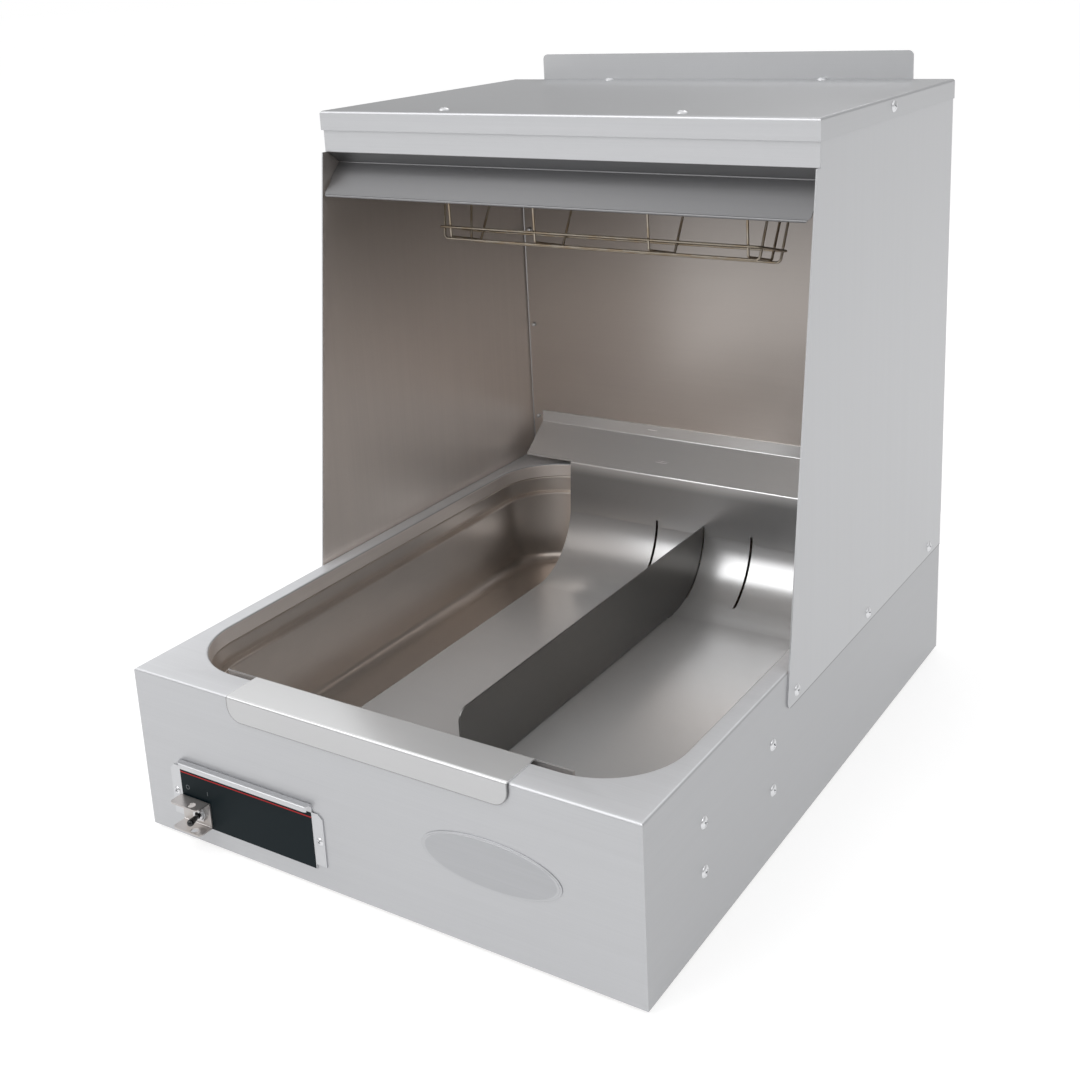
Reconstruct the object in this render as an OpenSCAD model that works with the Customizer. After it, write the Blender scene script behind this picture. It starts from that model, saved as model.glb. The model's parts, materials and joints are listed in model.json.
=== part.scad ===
// Countertop holding station for hot fried food: a heated well under an open hood.
// Sheet-metal pieces are drawn as folded profiles with true bends.

/* [Base] */
// Overall width across the side panels
body_w = 552; // [540:1:640]
// Depth of the base from its front face to its back edge
body_d = 708; // [700:1:780]
// Height of the base box above its feet
base_h = 167; // [160:1:190]
// Thickness of the outer sheet
sheet_t = 1.2; // [0.9:0.1:1.5]
// Radius of a sheet bend at mid thickness
bend_r = 2.2; // [1.6:0.1:3]
// Width of the turned-in flanges of the base
return_w = 16; // [12:1:20]
// Height of a rubber foot
foot_h = 4; // [3.2:0.2:12]
// Radius of a rubber foot
foot_r = 13; // [9:0.5:18]
// Distance of a foot's centre from the base's edges
foot_inset = 46; // [30:1:80]

/* [Well] */
// Width of the base's top beside the well
rim_side = 20; // [18:1:40]
// Corner radius of the well opening
well_r = 76; // [60:1:100]
// Width of the deck in front of the well
rim_front = 35; // [30:1:38]
// Width of the deck behind the well
rim_back = 33; // [32:1:50]
// Depth of the collar that folds down from the deck
collar_h = 16.5; // [12:0.5:20]
// Depth of the well below the deck
well_depth = 128.5; // [100:0.5:130]
// Depth of the pan's ledge below the deck
ledge_depth = 36; // [30:1:50]
// Width of the pan's ledge
ledge_w = 9; // [6:0.5:14]
// Width of the pan's outer flange
pan_flange_w = 11; // [6:0.5:12]
// Thickness of the pan's sheet
pan_t = 1.2; // [0.9:0.1:1.5]
// Bend radius round the bottom of the pan
pan_bottom_r = 14; // [8:1:20]

/* [Heating] */
// Thickness of the heating blanket under the pan
blanket_t = 2.2; // [1.5:0.1:3]
// Thickness of the insulation board
board_t = 14; // [8:0.5:15]
// Margin of the blanket inside the pan's flat bottom
blanket_margin = 13; // [6:1:40]
// Length of a ceramic element
element_l = 122; // [90:1:123]
// Distance between the centres of two elements
element_pitch = 123.5; // [123.5:0.5:126]
// Tilt of the reflector and the guard towards the front
tilt = 14; // [8:0.5:16]
// Half width of the reflector's mouth
mouth_half = 38; // [36:0.5:42]
// Height of the reflector's mouth above the guard's floor
mouth_h = 46; // [40:1:48]
// Height of the reflector's trough
trough_h = 46; // [44:0.5:48]
// Diameter of the guard's wire
wire_d = 2.6; // [2:0.1:3.2]
// Length of the guard's floor
guard_l = 369; // [340:1:374]
// Drop of the guard's floor below the hood's top
guard_drop = 149.5; // [146:0.5:150]

/* [Insert] */
// Width of the insert's floor and walls
insert_w = 380; // [320:1:400]
// Width of the lip over the front edge
lip_w = 306; // [240:1:310]
// Margin of the ramp inside each side of the base
ramp_margin = 18; // [10:1:60]
// Thickness of the insert's sheet
insert_t = 1.5; // [1:0.1:2]
// Height of the lip's front flange
lip_drop = 24; // [14:1:30]
// Bend radius of the scoop at the back
scoop_r = 86; // [60:1:88]
// Height of the crease above the scoop, from the base's bottom
crease_h = 110; // [105:1:125]
// Lean of the scoop where it meets the crease
scoop_lean = 12; // [6:1:20]
// Height of the ramp's foot above the deck
ramp_foot = 8; // [5:1:20]
// Height of the ramp's head above the deck
ramp_head = 41.5; // [35:0.5:60]
// Height of the flange above the ramp's head
ramp_flange = 15.5; // [8:0.5:30]
// Distance between two divider slots
slot_pitch = 64; // [40:1:80]
// Width of a divider slot
slot_w = 3.2; // [2.6:0.1:5]

/* [Divider] */
// Thickness of the divider's sheet
divider_t = 1.5; // [1:0.1:2]
// Height of the divider's top edge, from the base's bottom
divider_top = 122; // [90:1:123]
// Distance of the divider's front edge from the front face
divider_front = 141; // [110:1:220]
// Width of the divider's foot flange
divider_foot = 14; // [8:1:30]

/* [Hood] */
// Height of the hood's top above the base's bottom
hood_h = 654; // [640:1:760]
// Distance of the hood's front from the base's front face
hood_front = 336.5; // [320:0.5:345]
// Depth of the cover's folded lip
cover_lip = 20; // [15:0.5:30]
// Thickness of the side panels
side_t = 1.5; // [1.2:0.1:2]
// Distance of a side panel's front edge from the front face at its lower edge
panel_front = 268; // [240:1:300]
// Overlap of a side panel down over the base
panel_overlap = 37; // [30:1:50]
// Radius of a side panel's lower front corner
panel_r = 8; // [3:0.5:15]
// Height of the fascia below the cover's lip
fascia_h = 22.5; // [15:0.5:30]
// Height of the back panel's upstand above the cover
upstand_h = 30; // [15:1:60]
// Margin of the upstand inside each side of the body
upstand_margin = 43.5; // [20:0.5:120]
// Width of the wire channel on the back
channel_w = 36; // [24:1:50]
// Depth of the wire channel on the back
channel_d = 19; // [12:1:30]

/* [Controls] */
// Distance of the switch from the middle, towards the left
switch_x = 203; // [195:1:205]
// Height of the switch above the base's bottom
switch_h = 33.7; // [33:0.1:40]
// Throw of the switch lever to each side
throw = 12; // [6:1:14]
// Length of the switch lever from its pivot to the centre of its tip
lever_l = 15.5; // [13:0.5:18]
// Reach of the switch guard from the front face
guard_reach = 19; // [15:0.5:24]
// Half length of the oval plate
oval_a = 70; // [50:1:80]
// Half height of the oval plate
oval_b = 24; // [15:1:30]

/* [Fasteners] */
// Head radius of a sheet screw
head_r = 5.7; // [4.5:0.1:7]
// Shank radius of a sheet screw
shank_r = 2.4; // [1.8:0.1:2.6]
// Head radius of a small screw
small_head_r = 3.9; // [3:0.1:4.5]

/* [Hidden] */
$fn = 72;

// Clearance between pieces that slide past each other
gap = 0.3;
// Clearance round a screw's shank
screw_gap = 0.2;
// Small length by which a cut runs past a face
past = 1;
// A slanted bend is thicker than its legs by this much
swell = 0.02;
// Length by which a leg runs into a slanted bend
lap = 0.1;

// Colours
steel = [0.76, 0.77, 0.79];
bright_steel = [0.86, 0.87, 0.88];
dull_steel = [0.55, 0.56, 0.57];
warm_steel = [0.42, 0.39, 0.36];
rubber = [0.08, 0.08, 0.08];

// Reach of the switch lever in front of the base and of the wire channel behind it
lever_tip_r = 3.4;
pivot_out = 5;
front_reach = pivot_out + lever_l * cos(throw) + lever_tip_r;
plate_back = body_d - side_t;
rear_reach = plate_back + channel_d + sheet_t / 2 - body_d;
// The origin lies under the middle of the whole part
front_y = -(body_d - front_reach + rear_reach) / 2;

// Faces shared by neighbouring pieces
base_x = body_w / 2 - side_t;
inner_x = base_x - sheet_t;
back_in = plate_back - sheet_t;
well_w = body_w - 2 * rim_side;
well_l = body_d - rim_front - rim_back;
well_back = rim_front + well_l;
well_mid = rim_front + well_l / 2;
pan_floor = base_h - well_depth;
pan_under = pan_floor - pan_t;
pan_flange_top = base_h - collar_h - 0.5;
pan_wall_back = well_back - ledge_w + pan_t;
blanket_w = well_w - 2 * (ledge_w + pan_bottom_r + blanket_margin - pan_t / 2);
blanket_l = well_l - 2 * (ledge_w + pan_bottom_r + blanket_margin - pan_t / 2);
board_bottom = pan_under - blanket_t - board_t;
tray_t = 1;
cover_x = body_w / 2 + gap + sheet_t;
cover_under = hood_h - sheet_t;
cover_low = hood_h - cover_lip;
cover_rear = back_in - gap;
fascia_d = hood_front + sheet_t + 1.3;
upstand_w = body_w - 2 * upstand_margin;
fascia_low = cover_low - fascia_h;
ceiling_h = fascia_low - 8.1;
ceiling_front = hood_front + 25.5;
panel_low = base_h - panel_overlap;

// Screw places: distance from the front face and height on the base's sides
base_screw_d = [101, 239];
base_screw_h = [65, 111];
panel_screw_d = [panel_front + 22, body_d - 235, body_d - 43];
panel_screw_h = panel_low + 11.5;
cover_screw = [body_d - 190, cover_low + 11];
top_screw_x = 134;
top_screw_d = [hood_front + 24.5, back_in - 10.3];
rear_screw_h = [30, 84, 138, 215, 340, 465, 590];
rear_screw_x = base_x - 9;
bottom_screw_d = [9, body_d / 2, back_in - 9];

// Middle of the guard's floor
guard_d = hood_front + 104;
guard_h = hood_h - guard_drop;
trough_top = mouth_h + trough_h;
trough_half = 25;
reflector_l = 2 * element_pitch + element_l + 23;
reflector_t = 1;

// Blanket lead boss, seen from the front
lead_inset = 60;
lead_x = -blanket_w / 2 + lead_inset;
lead_d = well_mid + blanket_l / 2 - lead_inset;
lead_size = [40, 26, 6];

// Wire channel and cord places on the back
channel_x = -base_x + 124.5;
channel_low = 92;
channel_high = ceiling_h + 19;
wire_hole_r = 11;
cord_x = -base_x + 59.5;
cord_h = 46;
cord_hole_r = 11.2;
cord_bore_r = 5;

// Moves the drawing from the base's front bottom edge to the part's own frame
module placed() {
    translate([0, front_y, foot_h]) children();
}

// Carries a (depth, height) profile across the part
module across(x0, x1) {
    translate([x0, 0, 0]) rotate([90, 0, 90]) linear_extrude(x1 - x0) children();
}

// Carries an (x, height) profile from the front towards the back
module lengthwise(y0, y1) {
    translate([0, y1, 0]) rotate([90, 0, 0]) linear_extrude(y1 - y0) children();
}

// Repeats a piece on the left and on the right
module both_sides() {
    children();
    mirror([1, 0, 0]) children();
}

function unit(v) = v / norm(v);
function half_angle(a, p, b) = acos(unit(a - p) * unit(b - p)) / 2;
function tangent_len(a, p, b, r) = r / tan(half_angle(a, p, b));
function bend_centre(a, p, b, r) = p + unit(unit(a - p) + unit(b - p)) * r / sin(half_angle(a, p, b));

// Keeps a point to a thousandth of a millimetre
function snap(p) = [round(p[0] * 1000) / 1000, round(p[1] * 1000) / 1000];

// A bend is plain when both its legs lie along an axis
function is_level(v) = min(abs(v[0]), abs(v[1])) < 0.0005;
function bend_swell(a, p, b) = is_level(a - p) && is_level(b - p) ? 0 : swell;

// Distance from a corner at which the straight leg ends
function leg_end(a, p, b, r) = tangent_len(a, p, b, r) - (bend_swell(a, p, b) > 0 ? lap : 0);

// One bend of a folded sheet: a ring cut to the wedge between its two legs
module bend(a, p, b, r, t) {
    c = bend_centre(a, p, b, r);
    from = p + unit(a - p) * tangent_len(a, p, b, r);
    to = p + unit(b - p) * tangent_len(a, p, b, r);
    intersection() {
        translate(c) difference() {
            circle(r + t / 2);
            circle(r - t / 2);
        }
        polygon([c, c + 2 * (from - c), c + 2 * (p - c), c + 2 * (to - c)]);
    }
}

// Section of a folded sheet along its mid line: straight legs joined by bends
module fold(points, radii, t) {
    line = [for (p = points) snap(p)];
    last = len(line) - 1;
    for (i = [0:last - 1]) {
        a = line[i];
        b = line[i + 1];
        way = unit(b - a);
        side = [-way[1], way[0]] * t / 2;
        p = (i == 0) ? a : a + way * leg_end(line[i - 1], a, b, radii[i - 1]);
        q = (i == last - 1) ? b : b - way * leg_end(a, b, line[i + 2], radii[i]);
        polygon([p - side, q - side, q + side, p + side]);
    }
    for (i = [1:last - 1])
        bend(line[i - 1], line[i], line[i + 1], radii[i - 1],
             t + bend_swell(line[i - 1], line[i], line[i + 1]));
}

// Rectangle with round corners, centred
module round_rect(w, l, r) {
    square([w - 2 * r, l], center = true);
    square([w, l - 2 * r], center = true);
    for (x = [-1, 1], y = [-1, 1]) translate([x * (w / 2 - r), y * (l / 2 - r)]) circle(r);
}

// Carries a profile round a rectangle with round corners; the profile's x points outwards
module round_ring(w, l, r) {
    for (k = [0:3]) {
        out = (k % 2 == 0) ? w : l;
        run = (k % 2 == 0) ? l : w;
        rotate(90 * k) {
            translate([out / 2, run / 2 - r, 0]) rotate([90, 0, 0]) linear_extrude(run - 2 * r) children();
            translate([out / 2 - r, run / 2 - r, 0]) rotate_extrude(angle = 90) translate([r, 0]) children();
        }
    }
}

// Section of a box that is round at both top corners
module arch(w, h, r) {
    translate([-w / 2, 0]) square([w, h - r]);
    translate([-w / 2 + r, 0]) square([w - 2 * r, h]);
    for (x = [-1, 1]) translate([x * (w / 2 - r), h - r]) circle(r);
}

// Section of a box that is round at its top front corner only
module half_arch(l, h, r) {
    square([l, h - r]);
    translate([r, 0]) square([l - r, h]);
    translate([r, h - r]) circle(r);
}

// Box with round folds along its front and side top edges, from depth y0 to y1
module folded_box(half_w, y0, y1, h, r) {
    intersection() {
        lengthwise(y0, y1) arch(2 * half_w, h, r);
        across(-half_w, half_w) translate([y0, 0]) half_arch(y1 - y0, h, r);
    }
}

// Slot with round ends, centred
module slot(l, w) {
    square([l - w, w], center = true);
    for (x = [-1, 1]) translate([x * (l - w) / 2, 0]) circle(w / 2);
}

// Screw with a low domed head that sits on the plane z = 0, shank downwards
module screw(head, shank, length) {
    dome_h = head * 0.45;
    dome_r = (head * head + dome_h * dome_h) / (2 * dome_h);
    rotate_extrude() {
        intersection() {
            translate([0, dome_h - dome_r]) circle(dome_r);
            square([head, dome_h]);
        }
        translate([0, -length]) square([shank, length + dome_h / 2]);
    }
}

// Screw that points from the right side towards the middle
module side_screw(x, d, h, length) {
    translate([x, d, h]) rotate([0, 90, 0]) screw(head_r, shank_r, length);
}

// Holes through a side for a list of screw places
module side_holes(depths, heights) {
    for (d = depths, h = heights) translate([d, h]) circle(shank_r + screw_gap);
}

// Base

module base_sides_cut() {
    across(-base_x - past, base_x + past) {
        side_holes(base_screw_d, base_screw_h);
        side_holes(panel_screw_d, [panel_screw_h]);
    }
}

module base_shell() {
    outer_r = bend_r + sheet_t / 2;
    ring_w = 6;
    deck_hole = ring_w - lap;
    color(steel) placed() difference() {
        union() {
            difference() {
                folded_box(base_x, 0, body_d, base_h, outer_r);
                translate([0, 0, -past])
                    folded_box(inner_x, sheet_t, body_d + past, base_h - sheet_t + past, outer_r - sheet_t);
                // The deck ends at the rear panel's outer face
                translate([-inner_x, plate_back, -past]) cube([2 * inner_x, body_d, base_h + 2 * past]);
                // The deck laps the collar's level leg, so that the two stay one piece at any size
                translate([0, well_mid, base_h - sheet_t - past])
                    linear_extrude(sheet_t + 2 * past)
                        round_rect(well_w + 2 * deck_hole, well_l + 2 * deck_hole, well_r + deck_hole);
            }
            translate([0, well_mid, base_h]) round_ring(well_w, well_l, well_r)
                fold([[ring_w, -sheet_t / 2], [sheet_t / 2, -sheet_t / 2], [sheet_t / 2, -collar_h]],
                     [bend_r], sheet_t);
            // Turned-in flanges along the bottom and behind the rear panel
            translate([-inner_x, sheet_t, sheet_t]) cube([2 * inner_x, return_w, sheet_t]);
            both_sides() {
                translate([inner_x - return_w, sheet_t, sheet_t])
                    cube([return_w, back_in - 2 * sheet_t - return_w, sheet_t]);
                translate([inner_x - return_w, plate_back, rear_flange_low])
                    cube([return_w, sheet_t, base_h - rear_flange_low]);
            }
        }
        base_sides_cut();
        // Holes in the front for the switch and for the control plate's screws
        lengthwise(-past, sheet_t + past) {
            translate([-switch_x, switch_h]) circle(bushing_r + screw_gap);
            for (x = control_screw_x) translate([x, control_screw_h]) circle(small_shank_r + screw_gap);
        }
        for (x = [-1, 1] * bottom_screw_x, d = bottom_screw_d) translate([x, d, 0])
            cylinder(r = shank_r + screw_gap, h = 3 * sheet_t);
        for (x = [-1, 1] * rear_screw_x, h = rear_screw_h) translate([x, body_d + past, h]) rotate([90, 0, 0])
            cylinder(r = shank_r + screw_gap, h = side_t + past + gap);
    }
}

bottom_screw_x = inner_x - return_w / 2;
rear_flange_low = 3;
vent_count = 9;
vent_pitch = 11;
vent_w = 5;
vent_l = 70;
vent_h = 38;
vent_x = [for (i = [0:2]) base_x - 74.5 - i * 90];

module base_rear_panel() {
    half_w = inner_x - bend_r;
    top_h = base_h - 1.5 * sheet_t;
    low_h = 1.5 * sheet_t;
    mid_d = back_in + sheet_t / 2;
    color(steel) placed() difference() {
        across(-half_w, half_w)
            fold([[mid_d - return_w, top_h], [mid_d, top_h], [mid_d, low_h], [mid_d - return_w, low_h]],
                 [bend_r, bend_r], sheet_t);
        lengthwise(back_in - past, plate_back + past) {
            for (x = vent_x, i = [0:vent_count - 1]) translate([x, vent_h + i * vent_pitch])
                slot(vent_l, vent_w);
            translate([cord_x, cord_h]) circle(cord_hole_r);
            translate([channel_x, channel_low + 24]) circle(wire_hole_r);
            for (x = [-1, 1] * rear_screw_x, h = [rear_screw_h[0], rear_screw_h[1], rear_screw_h[2]])
                translate([x, h]) circle(shank_r + screw_gap);
        }
        for (x = [-1, 1] * bottom_screw_x) translate([x, bottom_screw_d[2], 0])
            cylinder(r = shank_r + screw_gap, h = 3 * sheet_t);
    }
}

module bottom_cover() {
    half_w = inner_x - gap;
    color(dull_steel) placed() linear_extrude(sheet_t) difference() {
        translate([-half_w, sheet_t + gap]) square([2 * half_w, plate_back - sheet_t - 2 * gap]);
        for (x = [-1, 1], i = [0:6]) translate([x * 200, body_d / 2 + (i - 3) * 16]) slot(60, 5);
        for (x = [-1, 1] * bottom_screw_x, d = bottom_screw_d) translate([x, d]) circle(shank_r + screw_gap);
    }
}

module feet() {
    color(rubber) placed()
        for (x = [-1, 1] * (base_x - foot_inset), d = [foot_inset, body_d - foot_inset])
            translate([x, d, -foot_h]) cylinder(r1 = foot_r - 1.5, r2 = foot_r, h = foot_h);
}

module bottom_screws() {
    color(bright_steel) placed()
        for (x = [-1, 1] * bottom_screw_x, d = bottom_screw_d)
            translate([x, d, 0]) rotate([180, 0, 0]) screw(head_r, shank_r, 3 * sheet_t + 3);
}

module base_side_screws() {
    color(bright_steel) placed() both_sides()
        for (d = base_screw_d, h = base_screw_h) side_screw(base_x, d, h, 7);
}

module rear_screws() {
    color(bright_steel) placed()
        for (x = [-1, 1] * rear_screw_x, h = rear_screw_h) {
            on_base = h < base_h;
            face = on_base ? plate_back + sheet_t : body_d;
            translate([x, face, h]) rotate([-90, 0, 0]) screw(head_r, shank_r, 7);
        }
}

// Well

module pan() {
    wall = pan_t / 2;
    flange_h = pan_flange_top - base_h - wall;
    ledge_h = -ledge_depth - wall;
    low_x = -ledge_w + wall;
    floor_h = -well_depth - wall;
    floor_in = ledge_w + pan_bottom_r + 10;
    color(steel) placed() translate([0, well_mid, base_h]) {
        round_ring(well_w, well_l, well_r)
            fold([[pan_flange_w, flange_h], [wall, flange_h], [wall, ledge_h], [low_x, ledge_h],
                  [low_x, floor_h], [-floor_in, floor_h]],
                 [1.5, 1.5, 1.5, pan_bottom_r], pan_t);
        translate([0, 0, -well_depth - pan_t]) linear_extrude(pan_t)
            round_rect(well_w - 2 * floor_in, well_l - 2 * floor_in, well_r - floor_in);
    }
}

module pan_supports() {
    mid_x = inner_x - sheet_t / 2;
    top_h = pan_flange_top - pan_t - sheet_t / 2;
    color(dull_steel) placed() both_sides() difference() {
        lengthwise(60, body_d - 30)
            fold([[mid_x, 50], [mid_x, top_h], [well_w / 2 + pan_t + 1.3, top_h]], [bend_r], sheet_t);
        base_sides_cut();
    }
}

module blanket_heater() {
    color([0.62, 0.25, 0.16]) placed() {
        translate([0, well_mid, pan_under - blanket_t]) linear_extrude(blanket_t)
            round_rect(blanket_w, blanket_l, 30);
        translate([lead_x - lead_size[0] / 2, lead_d - lead_size[1] / 2, pan_under - blanket_t - lead_size[2]])
            cube(lead_size);
    }
}

module insulation_board() {
    color([0.86, 0.84, 0.76]) placed() translate([0, well_mid, board_bottom]) linear_extrude(board_t)
        difference() {
            round_rect(blanket_w, blanket_l, 30);
            translate([lead_x, lead_d - well_mid])
                square([lead_size[0] + 10, lead_size[1] + 10], center = true);
        }
}

module insulation_tray() {
    wall_gap = 2;
    inner_w = blanket_w + 2 * wall_gap;
    inner_l = blanket_l + 2 * wall_gap;
    wall_h = 12;
    color(dull_steel) placed() translate([0, well_mid, board_bottom - tray_t]) difference() {
        linear_extrude(tray_t + wall_h) round_rect(inner_w + 2 * tray_t, inner_l + 2 * tray_t, 12 + tray_t);
        translate([0, 0, tray_t]) linear_extrude(wall_h + past) round_rect(inner_w, inner_l, 12);
    }
}

module support_channels() {
    t = sheet_t;
    end_gap = 60;
    web = 18;
    brim = 34;
    low_h = 1.5 * t;
    top_h = board_bottom - tray_t - t / 2;
    color(dull_steel) placed() for (x = [-1, 1] * well_w / 4) translate([x, 0, 0])
        lengthwise(end_gap, body_d - end_gap)
            fold([[-brim, low_h], [-web, low_h], [-web, top_h], [web, top_h], [web, low_h], [brim, low_h]],
                 [bend_r, bend_r, bend_r, bend_r], t);
}

module thermostat() {
    x = 120;
    h = 85;
    color([0.72, 0.72, 0.7]) placed() translate([x, pan_wall_back, h]) {
        difference() {
            translate([-22, 0, -8]) cube([44, 1, 16]);
            for (s = [-1, 1]) translate([s * 18, 2, 0]) rotate([90, 0, 0]) cylinder(r = 1.8, h = 3);
        }
        rotate([-90, 0, 0]) {
            translate([0, 0, 1]) cylinder(r = 12.5, h = 4);
            translate([0, 0, 5]) cylinder(r = 9.5, h = 7);
        }
        for (s = [-1, 1]) translate([s * 4 - 0.4, 12, -3.2]) cube([0.8, 8, 6.4]);
    }
}

module terminal_block() {
    poles = 5;
    pitch = 12;
    size = [poles * pitch, 16, 24];
    h = 60;
    color([0.9, 0.88, 0.82]) placed() translate([cord_x + 60, back_in - size[1], h]) difference() {
        cube(size);
        // Barriers between the poles stand proud of the screw seats
        for (i = [0:poles - 1]) translate([(i + 0.5) * pitch, 0, 0]) {
            for (h = [-past, size[2] - 7]) translate([-pitch / 2 + 1, -past, h])
                cube([pitch - 2, 7 + past, 7 + past]);
            for (h = [3.5, size[2] - 3.5]) translate([0, 12, h]) rotate([90, 0, 0])
                cylinder(r = 2, h = 12);
        }
    }
}

module cord_bushing() {
    color(rubber) placed() translate([cord_x, plate_back, cord_h]) rotate([-90, 0, 0]) rotate_extrude()
        polygon([[cord_bore_r, -9], [13.5, -9], [13.5, -sheet_t - 0.1], [cord_hole_r - gap, -sheet_t - 0.1],
                 [cord_hole_r - gap, 0], [15, 0], [15, 2], [13, 4], [cord_bore_r, 4]]);
}

// Lift-out insert

lip_mid = base_h + insert_t / 2;
lip_out = -0.5 - insert_t / 2;
ramp_w = body_w - 2 * ramp_margin;
floor_mid = pan_floor + swell + insert_t / 2;
floor_top = floor_mid + insert_t / 2;
front_wall_d = rim_front + 5.5;
crease_d = well_back - 20;
ramp_foot_d = well_back - 15;
ramp_head_d = back_in - gap - insert_t / 2;
scoop_foot_d = crease_d - (crease_h - floor_mid) * tan(scoop_lean);
insert_line = [
    [lip_out, lip_mid + insert_t / 2 - lip_drop],
    [lip_out, lip_mid],
    [front_wall_d, lip_mid],
    [front_wall_d + 17.5, floor_mid],
    [scoop_foot_d, floor_mid],
    [crease_d, crease_h],
    [ramp_foot_d, base_h + ramp_foot],
    [ramp_head_d, base_h + ramp_head],
    [ramp_head_d, base_h + ramp_head + ramp_flange]
];
front_bend_r = 40;
scoop_centre = bend_centre(insert_line[3], insert_line[4], insert_line[5], scoop_r);
slot_low = floor_top + 6;
slot_top = crease_h + 8;
lip_corner_r = 15;
shoulder_d = front_wall_d - 1;

module insert() {
    lip_low = insert_line[0][1];
    color(bright_steel) placed() difference() {
        across(-ramp_w / 2, ramp_w / 2)
            fold(insert_line, [bend_r, 3, front_bend_r, scoop_r, 3, 2.5, 3], insert_t);
        both_sides() {
            // The lip is narrower than the walls, and the walls are narrower than the ramp
            translate([lip_w / 2, lip_out - insert_t, -past])
                cube([ramp_w, shoulder_d - lip_out + insert_t, hood_h]);
            translate([insert_w / 2, shoulder_d - past, -past])
                cube([ramp_w, ramp_foot_d + insert_t - shoulder_d + past, hood_h]);
            // Round lower corners of the lip's flange
            lengthwise(lip_out - insert_t, 0) translate([lip_w / 2 - lip_corner_r, lip_low]) difference() {
                translate([0, -past]) square(lip_corner_r + past);
                translate([0, lip_corner_r]) circle(lip_corner_r);
            }
        }
        for (i = [-1:1]) translate([i * slot_pitch - slot_w / 2, scoop_centre[0], slot_low])
            cube([slot_w, scoop_r + 10, slot_top - slot_low]);
    }
}

module divider() {
    clearance = 0.8;
    corner_r = 12;
    inner_r = scoop_r - insert_t / 2;
    tab_low = floor_top + 17;
    tab_h = 20;
    foot_from = divider_front + 12;
    foot_to = scoop_centre[0] - 12;
    bend_h = bend_r + divider_t / 2;
    color(steel) placed() {
        difference() {
            across(-divider_t / 2, divider_t / 2) {
                translate([divider_front, floor_top])
                    square([scoop_centre[0] - divider_front, divider_top - corner_r - floor_top]);
                translate([divider_front + corner_r, divider_top - 2 * corner_r])
                    square([scoop_centre[0] - divider_front - corner_r, 2 * corner_r]);
                translate([divider_front + corner_r, divider_top - corner_r]) circle(corner_r);
                // Rear edge follows the scoop, with a tab that enters the middle slot
                intersection() {
                    translate(scoop_centre) circle(inner_r - clearance);
                    translate([scoop_centre[0], 0]) square([scoop_r, divider_top]);
                }
                intersection() {
                    translate(scoop_centre) circle(scoop_r + insert_t / 2 + 2);
                    translate([scoop_centre[0], tab_low]) square([scoop_r, tab_h]);
                }
            }
            translate([-divider_t, foot_from, floor_top - past])
                cube([2 * divider_t, foot_to - foot_from, bend_h + past]);
        }
        translate([0, 0, floor_top]) lengthwise(foot_from, foot_to)
            fold([[0, 12], [0, divider_t / 2], [-divider_foot, divider_t / 2]], [bend_r], divider_t);
    }
}

// Side and back panels

// Depth of a side panel's front edge at a height
function panel_edge(h) =
    panel_front + (hood_front - 0.5 - panel_front) * (h - panel_low) / (cover_low - panel_low);

panel_flange = 17;

module side_panel() {
    step = 3.2;
    rear_step = base_h + 2;
    mid_x = body_w / 2 - side_t / 2;
    mid_back = body_d - side_t / 2;
    top = cover_under - 3 * gap;
    corner = [panel_edge(panel_low), panel_low];
    // The fascia covers the front edge above this corner
    front_top = [panel_edge(fascia_low - gap), fascia_low - gap];
    notch_d = fascia_d + sheet_t + gap / 2;
    back_low = [body_d - step, panel_low];
    c = bend_centre(front_top, corner, back_low, panel_r);
    run = tangent_len(front_top, corner, back_low, panel_r);
    intersection() {
        linear_extrude(hood_h)
            fold([[mid_x, 0], [mid_x, mid_back], [mid_x - panel_flange, mid_back]], [bend_r], side_t);
        difference() {
            across(0, body_w) {
                polygon([corner + unit(front_top - corner) * run, corner + unit(back_low - corner) * run,
                         back_low, [body_d - step, rear_step], [body_d + past, rear_step],
                         [body_d + past, cover_low - gap], [back_in - gap, cover_low - gap],
                         [back_in - gap, top], [notch_d, top], [notch_d, front_top[1]], front_top]);
                translate(c) circle(panel_r);
            }
            across(0, body_w) {
                side_holes(panel_screw_d, [panel_screw_h]);
                translate(cover_screw) circle(shank_r + screw_gap);
            }
            for (h = rear_screw_h) translate([rear_screw_x, body_d + past, h]) rotate([90, 0, 0])
                cylinder(r = shank_r + screw_gap, h = side_t + past + gap);
        }
    }
}

module right_side_panel() {
    color(steel) placed() side_panel();
}

module left_side_panel() {
    color(steel) placed() mirror([1, 0, 0]) side_panel();
}

module panel_screws() {
    color(bright_steel) placed() both_sides()
        for (d = panel_screw_d) side_screw(body_w / 2, d, panel_screw_h, 8);
}

module back_panel() {
    half_w = base_x - bend_r;
    mid_d = back_in + sheet_t / 2;
    top = hood_h + upstand_h;
    corner_r = 6;
    shoulder_h = cover_low - 2 * gap;
    color(steel) placed() difference() {
        across(-half_w, half_w)
            fold([[mid_d, top], [mid_d, base_h + sheet_t / 2], [mid_d - return_w, base_h + sheet_t / 2]],
                 [bend_r], sheet_t);
        both_sides() lengthwise(back_in - past, plate_back + past) {
            translate([upstand_w / 2, shoulder_h]) square([half_w, top]);
            translate([upstand_w / 2 - corner_r, top - corner_r]) difference() {
                square(corner_r + past);
                circle(corner_r);
            }
            for (h = rear_screw_h) translate([rear_screw_x, h]) circle(shank_r + screw_gap);
        }
        translate([channel_x, plate_back + past, channel_high - 12]) rotate([90, 0, 0])
            cylinder(r = wire_hole_r, h = sheet_t + 2 * past);
    }
}

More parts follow.
